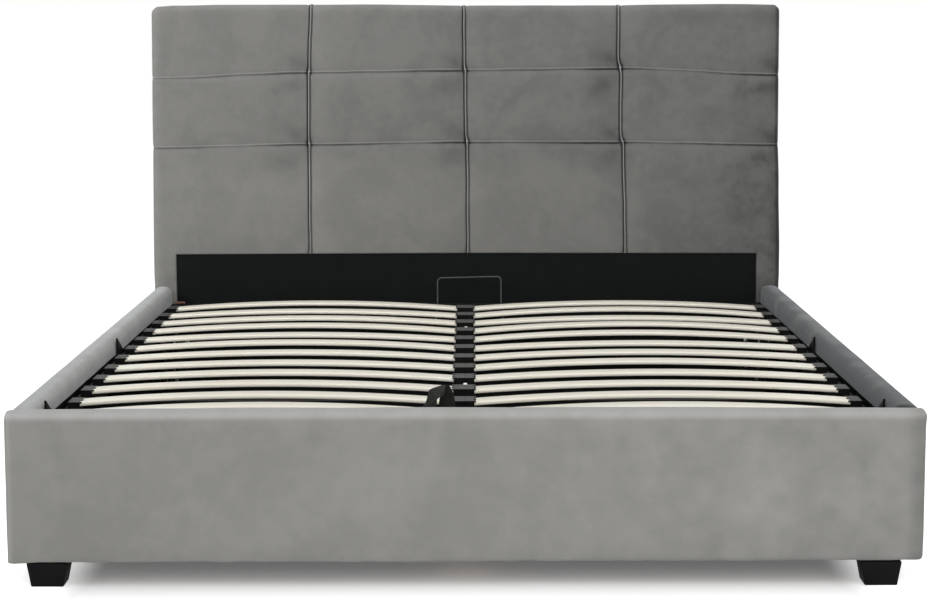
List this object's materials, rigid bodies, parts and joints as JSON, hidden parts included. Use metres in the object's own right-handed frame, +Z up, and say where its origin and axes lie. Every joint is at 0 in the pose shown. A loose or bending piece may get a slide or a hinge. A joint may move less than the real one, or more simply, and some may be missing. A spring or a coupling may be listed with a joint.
{
  "type": "storage bed",
  "caption": "Velvet upholstered storage bed with a seamed padded headboard and a slatted frame that lifts from the foot end on gas struts.",
  "frame": {"origin": "on the floor, under the middle of the bed's outer box", "axes": "+X to the right seen from the foot end, +Y from the foot end to the headboard, +Z up"},
  "size_m": [1.7, 2.17, 1.09],
  "materials": {
    "velvet": "grey velvet with a soft nap",
    "dark_lining": "matt black lining cloth",
    "timber": "raw softwood",
    "birch": "lacquered pale birch",
    "holder_plastic": "matt black",
    "frame_black": "black powder coat",
    "foot_black": "satin black",
    "webbing": "black webbing",
    "bright_steel": "bright zinc"
  },
  "bodies": {
    "base": {"footboard_cover": "velvet", "side_rail_cover_left": "velvet", "side_rail_cover_right": "velvet", "headboard_pad": "velvet", "headboard_lower_panel": "dark_lining", "headboard_back_lining": "dark_lining", "floor_panels": "dark_lining", "footboard_board": "timber", "side_rail_board_left": "timber", "side_rail_board_right": "timber", "headboard_frame": "timber", "support_battens": "timber", "floor_beam": "timber", "floor_beam_legs": "timber", "lift_plates": "frame_black", "corner_brackets": "frame_black", "feet": "foot_black", "pivot_bolts": "bright_steel", "assembly_bolts": "bright_steel"},
    "slat_frame": {"slat_left_01": "birch", "slat_left_02": "birch", "slat_left_03": "birch", "slat_left_04": "birch", "slat_left_05": "birch", "slat_left_06": "birch", "slat_left_07": "birch", "slat_left_08": "birch", "slat_left_09": "birch", "slat_left_10": "birch", "slat_left_11": "birch", "slat_left_12": "birch", "slat_right_01": "birch", "slat_right_02": "birch", "slat_right_03": "birch", "slat_right_04": "birch", "slat_right_05": "birch", "slat_right_06": "birch", "slat_right_07": "birch", "slat_right_08": "birch", "slat_right_09": "birch", "slat_right_10": "birch", "slat_right_11": "birch", "slat_right_12": "birch", "slat_holders_left": "holder_plastic", "slat_holders_right": "holder_plastic", "slat_holders_centre": "holder_plastic", "frame_side_tube_left": "frame_black", "frame_side_tube_right": "frame_black", "frame_foot_tube": "frame_black", "frame_head_tube": "frame_black", "frame_centre_tube": "frame_black", "frame_cross_bars": "frame_black", "frame_bolts": "bright_steel", "mattress_stop_bar": "frame_black", "mattress_guides": "holder_plastic", "pull_strap": "webbing"},
    "strut_left": {"gas_cylinder_left": "frame_black"},
    "strut_right": {"gas_cylinder_right": "frame_black"},
    "rod_left": {"gas_rod_left": "bright_steel"},
    "rod_right": {"gas_rod_right": "bright_steel"}
  },
  "joints": [
    {"name": "frame_lift", "type": "hinge", "parent": "base", "child": "slat_frame", "pos_m": [0, 0.75, 0.26], "axis": [-1, 0, 0], "range_deg": [0, 45]},
    {"name": "strut_swing_left", "type": "hinge", "parent": "base", "child": "strut_left", "pos_m": [-0.782, 0.66375, 0.088], "axis": [-1, 0, 0], "range_deg": [0, 22.5]},
    {"name": "rod_slide_left", "type": "slide", "parent": "strut_left", "child": "rod_left", "axis": [0, -0.5859, 0.8104], "range_m": [0, 0.1172]},
    {"name": "strut_swing_right", "type": "hinge", "parent": "base", "child": "strut_right", "pos_m": [0.782, 0.66375, 0.088], "axis": [-1, 0, 0], "range_deg": [0, 22.5]},
    {"name": "rod_slide_right", "type": "slide", "parent": "strut_right", "child": "rod_right", "axis": [0, -0.5859, 0.8104], "range_m": [0, 0.1172]}
  ],
  "couplings": [
    {"joint": "strut_swing_left", "follows": "frame_lift", "ratio": 0.5},
    {"joint": "rod_slide_left", "follows": "frame_lift", "m_per_rad": 0.1491},
    {"joint": "strut_swing_right", "follows": "frame_lift", "ratio": 0.5},
    {"joint": "rod_slide_right", "follows": "frame_lift", "m_per_rad": 0.1491}
  ]
}
